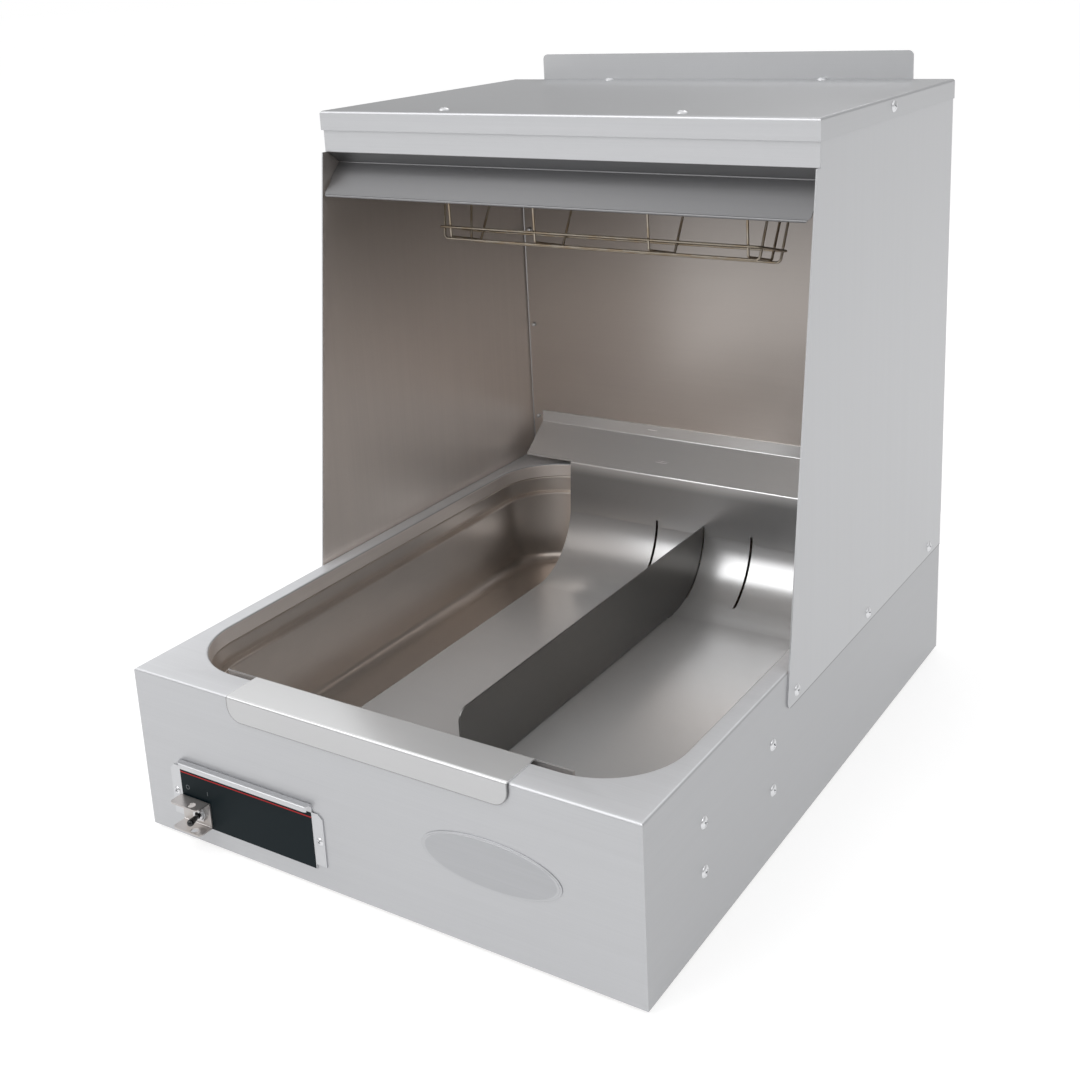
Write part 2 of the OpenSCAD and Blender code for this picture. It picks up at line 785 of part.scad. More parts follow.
module rear_top_angle() {
    half_w = upstand_w / 2;
    mid_d = back_in - sheet_t / 2;
    top_h = cover_under - sheet_t / 2;
    color(dull_steel) placed() difference() {
        across(-half_w, half_w)
            fold([[mid_d - 20, top_h], [mid_d, top_h], [mid_d, top_h - 20]], [bend_r], sheet_t);
        for (x = [-1, 1] * top_screw_x) translate([x, top_screw_d[1], top_h - sheet_t])
            cylinder(r = shank_r + screw_gap, h = 2 * sheet_t);
    }
}

module wire_channel() {
    half = channel_w / 2;
    low = sheet_t / 2;
    color(steel) placed() translate([channel_x, plate_back, channel_low]) {
        linear_extrude(channel_high - channel_low)
            fold([[-half - 14, low], [-half, low], [-half, channel_d], [half, channel_d], [half, low],
                  [half + 14, low]], [bend_r, bend_r, bend_r, bend_r], sheet_t);
        // Closed ends
        for (h = [0, channel_high - channel_low - sheet_t]) translate([-half, 0, h])
            cube([channel_w, channel_d, sheet_t]);
    }
}

// Hood

module hood_cover() {
    outer_r = bend_r + sheet_t / 2;
    color(steel) placed() difference() {
        translate([0, 0, cover_low]) difference() {
            folded_box(cover_x, hood_front, cover_rear, cover_lip, outer_r);
            translate([0, 0, -past]) folded_box(cover_x - sheet_t, hood_front + sheet_t, cover_rear + past,
                                                cover_lip - sheet_t + past, outer_r - sheet_t);
        }
        across(-cover_x - past, cover_x + past) translate(cover_screw) circle(shank_r + screw_gap);
        for (x = [-1, 1] * top_screw_x, d = top_screw_d) translate([x, d, cover_under - past])
            cylinder(r = shank_r + screw_gap, h = sheet_t + 2 * past);
    }
}

module hood_top_screws() {
    color(bright_steel) placed() for (x = [-1, 1] * top_screw_x, d = top_screw_d)
        translate([x, d, hood_h]) screw(head_r, shank_r, 8);
}

module hood_side_screws() {
    color(bright_steel) placed() both_sides() side_screw(cover_x, cover_screw[0], cover_screw[1], 7);
}

module fascia() {
    mid_d = fascia_d + sheet_t / 2;
    top_h = cover_under - sheet_t / 2;
    color(steel) placed() difference() {
        across(-body_w / 2, body_w / 2)
            fold([[mid_d + 30, top_h], [mid_d, top_h], [mid_d, fascia_low]], [bend_r], sheet_t);
        // The top flange lies between the side panels
        both_sides() translate([base_x, fascia_d - past, cover_low]) cube([side_t + past, 40, 2 * cover_lip]);
        for (x = [-1, 1] * top_screw_x) translate([x, top_screw_d[0], top_h - sheet_t])
            cylinder(r = shank_r + screw_gap, h = 2 * sheet_t);
    }
}

module deflector() {
    t = 1;
    half_w = base_x - gap;
    low_half_w = half_w - 2;
    mid_d = fascia_d + sheet_t + t / 2;
    crease = [mid_d + 17.5, fascia_low - 12.9];
    edge = [mid_d - 15.3, fascia_low - 45];
    hem_r = 1.4;
    clip = 7;
    color(dull_steel) placed() difference() {
        across(-half_w, half_w) {
            fold([[mid_d, fascia_low + 28], [mid_d, fascia_low - 0.5], crease, edge], [1.6, 1.6], t);
            translate(edge + [0.9, 0.6]) circle(hem_r);
        }
        // Lower corners are narrower and clipped
        both_sides() {
            translate([low_half_w, 0, edge[1] - 5]) cube([10, edge[0] + 16, 30]);
            translate([low_half_w, edge[0] - 5, edge[1] - hem_r]) rotate([0, 45, 0])
                cube([clip, 22, clip], center = true);
        }
    }
}

module hood_ceiling() {
    wall_h = 14;
    length = back_in - ceiling_front;
    color(dull_steel) placed() translate([0, ceiling_front, ceiling_h]) difference() {
        translate([-base_x, 0, 0]) cube([2 * base_x, length, wall_h + sheet_t]);
        translate([-inner_x, sheet_t, sheet_t]) cube([2 * inner_x, length - 2 * sheet_t, wall_h + past]);
        translate([channel_x, length - 30, -past]) cylinder(r = wire_hole_r, h = sheet_t + 2 * past);
        translate([channel_x, length + past, channel_high - 12 - ceiling_h]) rotate([90, 0, 0])
            cylinder(r = wire_hole_r, h = sheet_t + 2 * past);
        for (x = [-1, 1] * hanger_x, d = hanger_d) translate([x, d - ceiling_front, -past])
            cylinder(r = small_shank_r + screw_gap, h = sheet_t + 2 * past);
    }
}

// Reflector, elements and guard, drawn level and then tilted

module tilted() {
    placed() translate([0, guard_d, guard_h]) rotate([-tilt, 0, 0]) children();
}

function tilt_point(u, v) = [guard_d + u * cos(tilt) + v * sin(tilt), guard_h - u * sin(tilt) + v * cos(tilt)];

mouth_lip = 12;
boss = [36, 12];
boss_x = [-1, 0, 1] * element_pitch;
hanger_x = reflector_l / 2 + sheet_t + 8;
hanger_d = [guard_d - 2, guard_d + 42];

module reflector() {
    lip_v = mouth_h + reflector_t / 2;
    top_v = trough_top - reflector_t / 2;
    outer = mouth_half + mouth_lip;
    color(bright_steel) tilted() difference() {
        across(-reflector_l / 2, reflector_l / 2)
            fold([[-outer, lip_v], [-mouth_half, lip_v], [-trough_half, top_v], [trough_half, top_v],
                  [mouth_half, lip_v], [outer, lip_v]], [2, 3, 3, 2], reflector_t);
        for (x = boss_x) translate([x, 0, top_v])
            cube([boss[0] + 2, boss[1] + 2, 4 * reflector_t], center = true);
    }
}

module reflector_ends() {
    outer = mouth_half + mouth_lip;
    head_front = guard_d - 16;
    head_l = 70;
    tab_out = 16 + sheet_t;
    color(dull_steel) placed() both_sides() difference() {
        union() {
            across(reflector_l / 2, reflector_l / 2 + sheet_t)
                polygon([tilt_point(-outer, mouth_h), tilt_point(outer, mouth_h),
                         [head_front + head_l, ceiling_h], [head_front, ceiling_h]]);
            translate([reflector_l / 2, head_front, ceiling_h - sheet_t]) cube([tab_out, head_l, sheet_t]);
        }
        for (d = hanger_d) translate([hanger_x, d, ceiling_h - sheet_t - past])
            cylinder(r = small_shank_r + screw_gap, h = sheet_t + 2 * past);
    }
}

module hanger_screws() {
    color(bright_steel) placed() for (x = [-1, 1] * hanger_x, d = hanger_d)
        translate([x, d, ceiling_h - sheet_t]) rotate([180, 0, 0]) screw(small_head_r, small_shank_r, 6);
}

module ceramic_elements() {
    outer_r = 52;
    inner_r = 44;
    spread = 34;
    arch_top = trough_top - 15;
    centre_v = arch_top - outer_r;
    under = trough_top - reflector_t;
    color([0.93, 0.92, 0.88]) tilted() for (x = boss_x) {
        across(x - element_l / 2, x + element_l / 2) intersection() {
            translate([0, centre_v]) difference() {
                circle(outer_r);
                circle(inner_r);
            }
            polygon([[0, centre_v], [100 * sin(spread), centre_v + 100 * cos(spread)],
                     [0, centre_v + 200], [-100 * sin(spread), centre_v + 100 * cos(spread)]]);
        }
        // Broad foot under the trough's top, narrow boss through it
        translate([x - 22, -9, arch_top - 4]) cube([44, 18, under - arch_top + 4]);
        translate([x - boss[0] / 2, -boss[1] / 2, under - past]) cube([boss[0], boss[1], 7 + past]);
    }
}

module element_clips() {
    color(bright_steel) tilted() for (x = boss_x) translate([x, 0, trough_top]) difference() {
        translate([-26, -13, 0]) cube([52, 26, 1.2]);
        translate([-boss[0] / 2 - gap, -boss[1] / 2 - gap, -past])
            cube([boss[0] + 2 * gap, boss[1] + 2 * gap, 4]);
    }
}

// Wire bent in the plane of the profile: straight rods joined by bends
module bent_wire(points, r, d) {
    last = len(points) - 1;
    for (i = [0:last - 1]) {
        a = points[i];
        b = points[i + 1];
        way = unit(b - a);
        p = (i == 0) ? a : a + way * (tangent_len(points[i - 1], a, b, r) - lap);
        q = (i == last - 1) ? b : b - way * (tangent_len(a, b, points[i + 2], r) - lap);
        translate([p[0], p[1], 0]) rotate([0, 90, atan2(way[1], way[0])]) cylinder(d = d, h = norm(q - p));
    }
    for (i = [1:last - 1]) {
        a = points[i - 1];
        p = points[i];
        b = points[i + 1];
        c = bend_centre(a, p, b, r);
        from = unit(p + unit(a - p) * tangent_len(a, p, b, r) - c);
        to = unit(p + unit(b - p) * tangent_len(a, p, b, r) - c);
        start = (from[0] * to[1] > from[1] * to[0]) ? from : to;
        translate([c[0], c[1], 0]) rotate(atan2(start[1], start[0]))
            rotate_extrude(angle = 180 - 2 * half_angle(a, p, b)) translate([r, 0]) circle(d = d + swell);
    }
}

// Half width of the guard's floor, and what its legs and ends lean out by
floor_half = 28;
leg_flare = 12.5;
end_flare = 4.8;
// The long wires lie just inside the bends of the hoops
long_wire_u = floor_half - 3;
hoop_x = [-1, -0.385, 0.385, 1] * (guard_l / 2 - 10.5);

module wire_guard() {
    step = wire_d * 0.8;
    rail_h = 12;
    rail_half = floor_half + leg_flare * rail_h / mouth_h + step;
    rail_end = guard_l / 2 + end_flare * rail_h / mouth_h + step;
    color(warm_steel) tilted() {
        // Cross hoops
        for (x = hoop_x) translate([x, 0, 0]) rotate([90, 0, 90])
            bent_wire([[-floor_half - leg_flare, mouth_h], [-floor_half, step], [floor_half, step],
                       [floor_half + leg_flare, mouth_h]], 3, wire_d);
        // Long wires with turned-up ends
        for (s = [-1, 1]) translate([0, s * long_wire_u, 0]) rotate([90, 0, 0])
            bent_wire([[-guard_l / 2 - end_flare, mouth_h], [-guard_l / 2, 0], [guard_l / 2, 0],
                       [guard_l / 2 + end_flare, mouth_h]], 5, wire_d);
        // Rail round the basket
        translate([0, 0, rail_h]) round_ring(2 * rail_end, 2 * rail_half, 6) circle(d = wire_d);
    }
}

// Controls

plate_x = [-228, -62];
plate_h = [18, 76];
tab_w = 12;
tab_h = [23, 76];
small_shank_r = 1.7;
control_screw_x = [-234.2, -55.5];
control_screw_h = 48;
bushing_r = 6;
label_t = 0.3;
guard_t = 1.5;
guard_half_h = 14;
guard_left = 24;
guard_right = 12;
guard_hole_r = 3.8;
guard_hole_out = guard_reach - 5.5;
nut_h = 2.6;
label_face = sheet_t + label_t;
nut_face = label_face + guard_t;

module control_plate() {
    t = sheet_t;
    chamfer = 5;
    awning_out = 6.5;
    awning_r = 5;
    awning_x = [plate_x[0] + 3, plate_x[1]];
    color(bright_steel) placed() {
        difference() {
            lengthwise(-t, 0) {
                translate([plate_x[0], plate_h[0]])
                    square([plate_x[1] - plate_x[0], plate_h[1] - plate_h[0]]);
                for (s = [0, 1]) {
                    inner = plate_x[s];
                    outer = inner + (s == 0 ? -tab_w : tab_w);
                    clip = (s == 0) ? chamfer : -chamfer;
                    polygon([[inner, tab_h[0]], [outer, tab_h[0]], [outer, tab_h[1] - chamfer],
                             [outer + clip, tab_h[1]], [inner, tab_h[1]]]);
                }
            }
            lengthwise(-t - past, past) {
                translate([-switch_x, switch_h]) circle(bushing_r + screw_gap);
                for (x = control_screw_x) translate([x, control_screw_h]) circle(small_shank_r + screw_gap);
            }
        }
        // Drip awning over the label
        difference() {
            across(awning_x[0], awning_x[1])
                fold([[-t / 2, plate_h[1] - 2], [-t / 2, plate_h[1] + 8], [-awning_out, plate_h[1] + 6.6],
                      [-awning_out, plate_h[1] + 2]], [1, 1], t);
            for (s = [0, 1]) translate([awning_x[s], -awning_out - t / 2, 0]) mirror([s, 0, 0])
                linear_extrude(hood_h) difference() {
                    translate([-past, -past]) square(awning_r + past);
                    translate([awning_r, awning_r]) circle(awning_r);
                }
        }
    }
}

module control_label() {
    color([0.12, 0.15, 0.17]) placed() lengthwise(-sheet_t - label_t, -sheet_t) difference() {
        translate([plate_x[0] + 1, plate_h[0] + 0.6])
            square([plate_x[1] - plate_x[0] - 2, plate_h[1] - plate_h[0] - 1.2]);
        translate([-switch_x, switch_h]) circle(bushing_r + screw_gap);
    }
}

module control_screws() {
    color(bright_steel) placed() for (x = control_screw_x) translate([x, -sheet_t, control_screw_h])
        rotate([90, 0, 0]) screw(small_head_r, small_shank_r, 7);
}

module switch_guard() {
    mid = -label_face - guard_t / 2;
    half = guard_half_h - guard_t / 2;
    color(dull_steel) placed() difference() {
        across(-switch_x - guard_left, -switch_x + guard_right) translate([0, switch_h])
            fold([[-guard_reach, half], [mid, half], [mid, -half], [-guard_reach, -half]],
                 [bend_r, bend_r], guard_t);
        lengthwise(-guard_reach - past, past) translate([-switch_x, switch_h]) circle(bushing_r + screw_gap);
        translate([-switch_x, -guard_hole_out, switch_h - guard_half_h - past])
            cylinder(r = guard_hole_r, h = 2 * guard_half_h + 2 * past);
        // Round front corners of both flanges
        for (s = [0, 1]) translate([-switch_x + (s == 0 ? -guard_left : guard_right), -guard_reach, 0])
            mirror([s, 0, 0]) linear_extrude(base_h) difference() {
                translate([-past, -past]) square(4 + past);
                translate([4, 4]) circle(4);
            }
    }
}

bushing_end = nut_face + nut_h + 2.4;

module switch_body() {
    body = [14, 22, 27];
    color([0.2, 0.2, 0.21]) placed() translate([-switch_x, 0, switch_h]) {
        difference() {
            union() {
                translate([-body[0] / 2, sheet_t, -body[2] / 2]) cube(body);
                translate([0, sheet_t + past, 0]) rotate([90, 0, 0])
                    cylinder(r = bushing_r, h = bushing_end + sheet_t + past);
            }
            // Mouth of the bushing, in which the lever swings
            translate([0, -pivot_out + 3.6, 0]) rotate([90, 0, 0])
                cylinder(r = 3.4, h = bushing_end);
        }
        for (h = [-9, 0, 9]) translate([-3, sheet_t + body[1], h - 0.4]) cube([6, 9, 0.8]);
    }
}

module switch_nut() {
    color(bright_steel) placed() translate([-switch_x, -nut_face, switch_h]) rotate([90, 0, 0]) difference() {
        cylinder(r = 8, h = nut_h, $fn = 6);
        translate([0, 0, -past]) cylinder(r = bushing_r + 0.1, h = nut_h + 2 * past);
    }
}

module switch_lever() {
    neck_r = 1.5;
    ball_r = 3.1;
    color([0.05, 0.05, 0.05]) placed() translate([-switch_x, -pivot_out, switch_h]) rotate([90, 0, throw]) {
        sphere(r = ball_r);
        cylinder(r1 = neck_r, r2 = lever_tip_r, h = lever_l);
        translate([0, 0, lever_l]) sphere(r = lever_tip_r);
    }
}

module oval_plate() {
    x = base_x - 144.5;
    h = 84.5;
    sides = 96;
    rim = 2;
    // Points of an ellipse at equal steps of its angle
    function oval(a, b) = [for (i = [0:sides - 1]) [a * cos(360 * i / sides), b * sin(360 * i / sides)]];
    color([0.7, 0.71, 0.73]) placed() translate([x, 0, h]) rotate([90, 0, 0]) {
        linear_extrude(0.8) polygon(oval(oval_a, oval_b));
        linear_extrude(1.2) polygon(oval(oval_a - rim, oval_b - rim));
    }
}

base_shell();
base_rear_panel();
bottom_cover();
feet();
bottom_screws();
base_side_screws();
rear_screws();
pan();
pan_supports();
blanket_heater();
insulation_board();
insulation_tray();
support_channels();
thermostat();
terminal_block();
cord_bushing();
insert();
divider();
left_side_panel();
right_side_panel();
panel_screws();
back_panel();
rear_top_angle();
wire_channel();
hood_cover();
hood_top_screws();
hood_side_screws();
fascia();
deflector();
hood_ceiling();
reflector();
reflector_ends();
hanger_screws();
ceramic_elements();
element_clips();
wire_guard();
control_plate();
control_label();
control_screws();
switch_guard();
switch_body();
switch_nut();
switch_lever();
oval_plate();
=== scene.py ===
"""Finishes, screws and studio for a countertop fry holding station of folded stainless sheet."""
import json
import math

import bmesh
import bpy
import numpy as np
from mathutils import Matrix, Vector


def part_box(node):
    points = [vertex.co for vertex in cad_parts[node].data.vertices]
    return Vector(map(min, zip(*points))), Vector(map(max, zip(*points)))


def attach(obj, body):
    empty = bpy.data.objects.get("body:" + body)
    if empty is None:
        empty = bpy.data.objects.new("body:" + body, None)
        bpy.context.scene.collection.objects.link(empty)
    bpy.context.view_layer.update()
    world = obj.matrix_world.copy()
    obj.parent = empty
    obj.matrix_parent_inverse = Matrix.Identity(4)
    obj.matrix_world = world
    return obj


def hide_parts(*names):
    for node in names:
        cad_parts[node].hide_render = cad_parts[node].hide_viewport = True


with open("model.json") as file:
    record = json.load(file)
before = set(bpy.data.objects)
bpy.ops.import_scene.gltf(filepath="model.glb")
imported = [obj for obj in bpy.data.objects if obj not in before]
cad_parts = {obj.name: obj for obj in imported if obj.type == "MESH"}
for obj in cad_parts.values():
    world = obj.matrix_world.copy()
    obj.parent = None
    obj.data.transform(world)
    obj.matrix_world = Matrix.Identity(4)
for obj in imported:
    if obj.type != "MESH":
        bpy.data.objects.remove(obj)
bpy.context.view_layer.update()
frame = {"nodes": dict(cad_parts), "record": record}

MM = 0.001
nodes = frame["nodes"]
body_of_node = {n: body for body, names in frame["record"]["behaviour"]["bodies"].items() for n in names}

# Camera, as the photograph was taken: from the right, a little above the hood
CAMERA_PLACE = (0.74459, -1.17601, 0.79155)
CAMERA_AZIMUTH = 33.312
CAMERA_ELEVATION = 15.946
CAMERA_ROLL = -2.858
CAMERA_LENS = 48.159
CAMERA_SENSOR = 36.0
CAMERA_SHIFT = -0.1481


def add_camera():
    """Forward follows azimuth and elevation; right is level, then turned by the roll towards up."""
    azimuth, elevation, roll = (math.radians(a) for a in (CAMERA_AZIMUTH, CAMERA_ELEVATION, CAMERA_ROLL))
    forward = Vector((-math.sin(azimuth) * math.cos(elevation), math.cos(azimuth) * math.cos(elevation),
                      -math.sin(elevation)))
    level = forward.cross(Vector((0, 0, 1))).normalized()
    right = level * math.cos(roll) + level.cross(forward) * math.sin(roll)
    up = right.cross(forward)
    camera = bpy.data.objects.new("camera", bpy.data.cameras.new("camera"))
    camera.data.lens = CAMERA_LENS
    camera.data.sensor_width = CAMERA_SENSOR
    camera.data.shift_y = CAMERA_SHIFT
    camera.data.clip_start = 0.05
    turn = Matrix((right, up, -forward)).transposed().to_4x4()
    camera.matrix_world = Matrix.Translation(CAMERA_PLACE) @ turn
    bpy.context.scene.collection.objects.link(camera)
    bpy.context.scene.camera = camera


class Field:
    """One value over a surface: a socket whose arithmetic adds Math nodes."""

    def __init__(self, shader, socket):
        self.shader = shader
        self.socket = socket

    def _math(self, operation, *values):
        return self.shader.node("ShaderNodeMath", {"operation": operation}, values)[0]

    def __add__(self, other):
        return self._math("ADD", self, other)

    def __radd__(self, other):
        return self._math("ADD", other, self)

    def __sub__(self, other):
        return self._math("SUBTRACT", self, other)

    def __rsub__(self, other):
        return self._math("SUBTRACT", other, self)

    def __mul__(self, other):
        return self._math("MULTIPLY", self, other)

    def __rmul__(self, other):
        return self._math("MULTIPLY", other, self)

    def __truediv__(self, other):
        return self._math("DIVIDE", self, other)

    def __abs__(self):
        return self._math("ABSOLUTE", self)

    def __pow__(self, power):
        return self._math("POWER", self, power)

    def least(self, other):
        return self._math("MINIMUM", self, other)

    def most(self, other):
        return self._math("MAXIMUM", self, other)

    def above(self, low, high):
        """0 below low, 1 above high, smooth between."""
        return self.shader.node("ShaderNodeMapRange", {"interpolation_type": "SMOOTHSTEP"},
                                {"Value": self, "From Min": low, "From Max": high})[0]


class Shader:
    """A material with one Principled shader, and one method that adds any other node."""

    def __init__(self, name):
        self.material = bpy.data.materials.new(name)
        self.material.use_nodes = True
        self.tree = self.material.node_tree
        self.principled = next(n for n in self.tree.nodes if n.type == "BSDF_PRINCIPLED")
        self.place = self.node("ShaderNodeTexCoord")

    def node(self, kind, settings=None, values=()):
        made = self.tree.nodes.new(kind)
        for name, value in (settings or {}).items():
            setattr(made, name, value)
        pairs = values.items() if isinstance(values, dict) else enumerate(values)
        for key, value in pairs:
            self.put(made.inputs[key], value)
        return [Field(self, socket) for socket in made.outputs]

    def put(self, socket, value):
        if isinstance(value, Field):
            self.tree.links.new(value.socket, socket)
        else:
            socket.default_value = value

    def set(self, **values):
        """Sets the Principled shader's sockets, named with underscores for spaces."""
        for name, value in values.items():
            self.put(self.principled.inputs[name.replace("_", " ")], value)
        return self.material

    def point(self):
        """Object coordinates."""
        return self.place[3]

    def xyz(self, vector):
        return self.node("ShaderNodeSeparateXYZ", values=[vector])

    def facing(self):
        """How much a face looks along X, along Y and along Z, each from -1 to 1."""
        return self.xyz(self.place[1])

    def drawn(self, name):
        """A number kept on the mesh's points."""
        return self.node("ShaderNodeAttribute", {"attribute_name": name})[2]

    def noise(self, scale, detail=2.0, roughness=0.5):
        """Noise from 0 to 1; scale is the number of grains per metre along X, Y and Z."""
        moved = self.node("ShaderNodeMapping", values={"Vector": self.point(), "Scale": scale})[0]
        return self.node("ShaderNodeTexNoise", {"noise_dimensions": "3D"},
                         {"Vector": moved, "Scale": 1.0, "Detail": detail, "Roughness": roughness})[0]

    def mix(self, factor, first, second):
        """Colour between first and second."""
        return self.node("ShaderNodeMix", {"data_type": "RGBA"}, {0: factor, 6: first, 7: second})[2]

    def shade(self, colour, amount):
        """A colour made lighter or darker by a field around 1."""
        return self.node("ShaderNodeVectorMath", {"operation": "SCALE"},
                         {0: colour[:3], "Scale": amount})[0]

    def bump(self, height, distance):
        """Relief of the given height field, distance metres from its lows to its highs."""
        return self.node("ShaderNodeBump",
                         values={"Height": height, "Distance": distance, "Strength": 1.0})[0]


# Brush marks: scale of the broad bands against the fine grain, across and along, and the bands' share
BAND_SCALE = 0.13
BAND_RUN = 0.35
BAND_SHARE = 0.4


def streaks(shader, axis, per_metre=700.0, run=5.0):
    """Brush marks: noise drawn out along one axis, with fine grains and broader bands."""
    def scale(across, along):
        return tuple(along if i == axis else across for i in range(3))
    fine = shader.noise(scale(per_metre, run), detail=3.0, roughness=0.65)
    broad = shader.noise(scale(per_metre * BAND_SCALE, run * BAND_RUN), detail=2.0)
    return fine * (1.0 - BAND_SHARE) + broad * BAND_SHARE


# How strongly the brush marks and the wiped patches show in a sheet's lightness, roughness and relief
MARK_TONE = 0.16
MARK_ROUGHNESS = 0.14
WIPE_ROUGHNESS = 0.08
MARK_RELIEF = 0.05 * MM

# How far a face is turned towards an axis, from and to, for each thing that depends on it
MARKS_TURN = (0.6, 0.8)
FLANK_TURN = (0.6, 0.9)
DECK_TURN = (0.6, 0.95)
FACE_TURN = (0.5, 0.9)

# Tinted sheet: its tone, the painted light low down, the painted shade that darkens it upwards, and
# between which heights
WARM_STEEL = [0.78, 0.715, 0.67]
TINT_PAINTED_LIGHT = 1.22
TINT_PAINTED_SHADE = 0.66
SHADE_RISE_FROM = 200 * MM
SHADE_RISE_TO = 620 * MM

# Lower edge of the hood's cover, and how softly the back panel's tint ends there
COVER_LOW = 640 * MM
COVER_BLEND = 15 * MM

# The well's collar: its front from the base's front, its sides from the middle, and a soft end
COLLAR_FRONT = 10 * MM
COLLAR_SIDE = 262 * MM
COLLAR_BLEND = 2 * MM

# Painted shade line along an edge: its width, how much painted shade darkens the sheet, and from and to
# where the line ends
SHADE_LINE_WIDTH = 1.0 * MM
PAINTED_SHADE_DEPTH = 0.6
SHADE_LINE_IN = 0.7 * SHADE_LINE_WIDTH
SHADE_LINE_OUT = 1.3 * SHADE_LINE_WIDTH
SIDE_PANEL_LOW = 134 * MM

# The insert's lip in front of the base, how much darker the whole lip is made, the painted light on the
# ramp, and the painted shade on the scoop below it
LIP_HALF_WIDTH = 153 * MM
LIP_CORNER = 15 * MM
LIP_LOW = 148.2 * MM
LIP_DIMMING = 0.33
RAMP_PAINTED_LIGHT = 0.55
SCOOP_PAINTED_SHADE = 0.75


def brushed(name, tone, rough, front=0, side=1, top=0, mark=1.0, cloud=0.05, flank_painted_shade=1.0, deck=0.0,
            metal=0.8, tint_and_painted_shading=None, extra_painted_shade=0.0, painted_shade_mask=None):
    """Brushed sheet: marks run along the given axis on faces that look front, sideways and up.
    The sideways faces keep only a share of their lightness, as painted shade; deck is how much lighter, as
    painted light, and less metallic the level ones are, or below zero how much darker, as painted shade. A
    tint mask works out from the shader where fat and the heating have tinted the sheet; there it also gets
    painted light low down, painted shade higher up and a further amount of painted shade. A painted shade
    mask works out where the sheet gets painted shade or, below zero, painted light."""
    shader = Shader(name)
    look = shader.facing()
    look_x, look_z = abs(look[0]), abs(look[2])
    marks = {axis: streaks(shader, axis) for axis in {front, side, top}}
    grain = marks[front]
    if side != front:
        sideways = look_x.above(*MARKS_TURN)
        grain = grain * (1.0 - sideways) + marks[side] * sideways
    if top != front:
        upwards = look_z.above(*MARKS_TURN)
        grain = grain * (1.0 - upwards) + marks[top] * upwards
    wiped = shader.noise((5.0, 5.0, 5.0), detail=3.0)
    level = 1.0 + (grain - 0.5) * (MARK_TONE * mark) + (wiped - 0.5) * cloud
    # Painted shade: the faces that look sideways are made darker.
    if flank_painted_shade != 1.0:
        level = level * (1.0 - look_x.above(*FLANK_TURN) * (1.0 - flank_painted_shade))
    # Painted light on the faces that look up, or painted shade where the amount is below zero; they are
    # also made less metallic.
    if deck:
        upper = look[2].above(*DECK_TURN)
        level = level * (1.0 + upper * deck)
        metal = metal - upper * deck
    # Painted shade where the mask is above zero, painted light where it is below.
    if painted_shade_mask:
        level = level * (1.0 - painted_shade_mask(shader) * PAINTED_SHADE_DEPTH)
    colour = shader.shade(tone, level)
    if tint_and_painted_shading:
        # Painted light low down and painted shade higher up on the tinted part, less a further amount of
        # painted shade.
        height_light_and_shade = TINT_PAINTED_LIGHT - extra_painted_shade - shader.xyz(shader.point())[2].above(SHADE_RISE_FROM, SHADE_RISE_TO) * TINT_PAINTED_SHADE
        colour = shader.mix(tint_and_painted_shading(shader), colour, shader.shade(WARM_STEEL, level * height_light_and_shade))
    return shader.set(Base_Color=colour, Metallic=metal,
                      Roughness=(rough + (grain - 0.5) * (MARK_ROUGHNESS * mark)
                                 + (wiped - 0.5) * WIPE_ROUGHNESS),
                      Normal=shader.bump(grain, MARK_RELIEF * mark))


def inner_face(way):
    """Mask of the face of a side panel that looks along X towards the holding space, where it is tinted
    and gets painted light low down and painted shade higher up.
    """
    return lambda shader: (shader.facing()[0] * way).above(*FACE_TURN)


def below_cover(shader):
    """Mask of the front face of the back panel under the hood's cover, where it is tinted and gets painted
    light low down and painted shade higher up.
    """
    below = 1.0 - shader.xyz(shader.point())[2].above(COVER_LOW, COVER_LOW + COVER_BLEND)
    return below * (1.0 - shader.facing()[1].above(*FACE_TURN))


def in_well(shader):
    """Mask of the collar that hangs from the deck round the well, where it is tinted and, lying low, gets
    painted light.
    """
    low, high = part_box("base_shell")
    x, y, z = shader.xyz(shader.point())
    below_deck = 1.0 - z.above(high.z - 2.0 * MM, high.z - 1.0 * MM)
    behind_front = y.above(low.y + COLLAR_FRONT, low.y + COLLAR_FRONT + COLLAR_BLEND)
    return below_deck * behind_front * (1.0 - abs(x).above(COLLAR_SIDE, COLLAR_SIDE + COLLAR_BLEND))


def insert_painted_shading(shader):
    """Painted shade and light on the insert: its lip in front of the base is darker all over, most so in a
    painted shade line along its outline, the rounded shape sqrt(max(|x| - half + corner, 0)^2 + max(low +
    corner - z, 0)^2) = corner; the scoop below the ramp gets painted shade. The ramp itself gets painted
    light, which counts as less than none."""
    x, y, z = shader.xyz(shader.point())
    beside = (abs(x) - (LIP_HALF_WIDTH - LIP_CORNER)).most(0.0)
    below = ((LIP_LOW + LIP_CORNER) - z).most(0.0)
    rim = (beside * beside + below * below) ** 0.5
    low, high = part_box("base_shell")
    front = 1.0 - y.above(low.y - 0.3 * MM, low.y)
    # The lip: darker all over, and a painted shade line along its outline.
    lip = front * rim.above(LIP_CORNER - SHADE_LINE_OUT, LIP_CORNER - SHADE_LINE_IN).most(LIP_DIMMING)
    rear_half = y.above(0.0, 100 * MM)
    ramp = z.above(high.z - 8 * MM, high.z + 12 * MM)
    scoop = (1.0 - ramp) * z.above(high.z - 90 * MM, high.z - 30 * MM)
    # Painted shade on the scoop below the ramp, and painted light on the ramp.
    return lip + rear_half * (scoop * SCOOP_PAINTED_SHADE - ramp * RAMP_PAINTED_LIGHT)


def panel_edge_shade_line(shader):
    """Mask of the painted shade line along a side panel's level lower edge."""
    height = shader.xyz(shader.point())[2] - SIDE_PANEL_LOW
    return 1.0 - height.above(SHADE_LINE_IN, SHADE_LINE_OUT)


